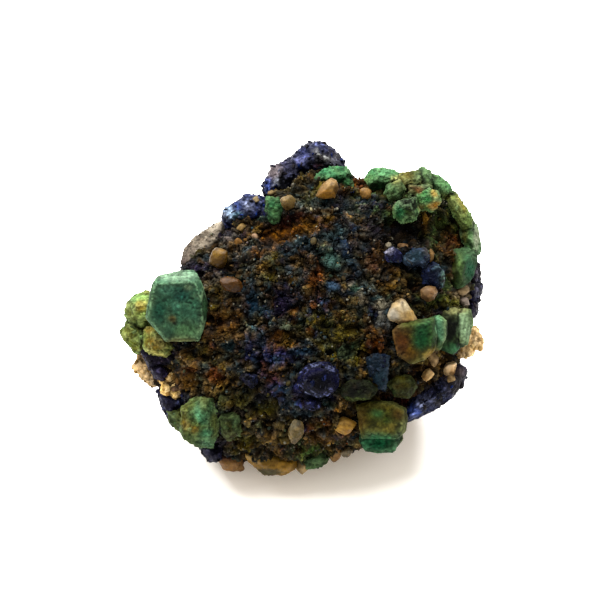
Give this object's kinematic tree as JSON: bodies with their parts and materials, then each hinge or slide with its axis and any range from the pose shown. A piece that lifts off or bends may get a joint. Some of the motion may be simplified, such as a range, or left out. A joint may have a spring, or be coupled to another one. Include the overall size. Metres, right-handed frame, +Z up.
{
  "type": "azurite specimen",
  "caption": "Cabinet mineral specimen: a nodule of sandstone cemented by azurite, set with malachite crystals, azurite lumps and quartz grains, resting on a flat broken base.",
  "frame": {"origin": "on the plane the specimen rests on, under the middle of its bounding box", "axes": "+X along its longest extent, to the right of the display face, +Y away from the viewer of that face, +Z up"},
  "size_m": [0.0456, 0.0358, 0.0343],
  "materials": {
    "matrix": "rough cemented sand grains, brown to olive with dark blue cement and limonite stains",
    "malachite": "matt to silky green, mottled, with paler worn edges",
    "olive_malachite": "dull olive green, iron stained",
    "azurite": "deep blue to blue-black, glassy fine crystal faces",
    "quartz": "worn quartz, greasy to glassy, grey to honey coloured",
    "crust": "granular cream to peach crust, matt"
  },
  "bodies": {
    "root": {"azurite_cluster_right": "azurite", "azurite_crown_top": "azurite", "azurite_crystal_centre": "azurite", "azurite_crystal_slate": "azurite", "azurite_crystal_violet": "azurite", "azurite_edge_bottom_left": "azurite", "azurite_flank_lower_left": "azurite", "azurite_lump_back": "azurite", "azurite_lump_upper_left": "azurite", "azurite_plate_lower_right": "azurite", "azurite_ridge_left": "azurite", "azurite_rim_right": "azurite", "crust_cream_left": "crust", "crust_pale_left": "crust", "crust_peach_right": "crust", "malachite_blade_right": "malachite", "malachite_block_lower_left": "malachite", "malachite_block_lower_right": "malachite", "malachite_blocks_right": "malachite", "malachite_cluster_left": "malachite", "malachite_crust_top": "malachite", "malachite_crystal_back": "malachite", "malachite_crystal_left": "malachite", "malachite_edge_bottom": "malachite", "malachite_patch_bottom": "malachite", "malachite_rim_upper_right": "malachite", "malachite_tuft_upper_left": "malachite", "matrix": "matrix", "olive_crystal_left": "olive_malachite", "olive_crystal_right": "olive_malachite", "quartz_grain_amber_lower": "quartz", "quartz_grain_amber_upper": "quartz", "quartz_grain_brown_bottom": "quartz", "quartz_grain_brown_right": "quartz", "quartz_grain_cream_lower": "quartz", "quartz_grain_cream_right": "quartz", "quartz_grain_gold_bottom": "quartz", "quartz_grain_grey_bottom": "quartz", "quartz_grain_grey_edge": "quartz", "quartz_grain_tan_bottom": "quartz", "quartz_grain_tan_top": "quartz", "quartz_grain_tan_top_right": "quartz", "quartz_grain_tan_upper": "quartz", "quartz_patch_grey": "quartz", "quartz_pebble_back": "quartz", "quartz_pebble_cream": "quartz", "quartz_slab_bottom": "quartz", "quartz_spike_bottom": "quartz"}
  },
  "joints": []
}
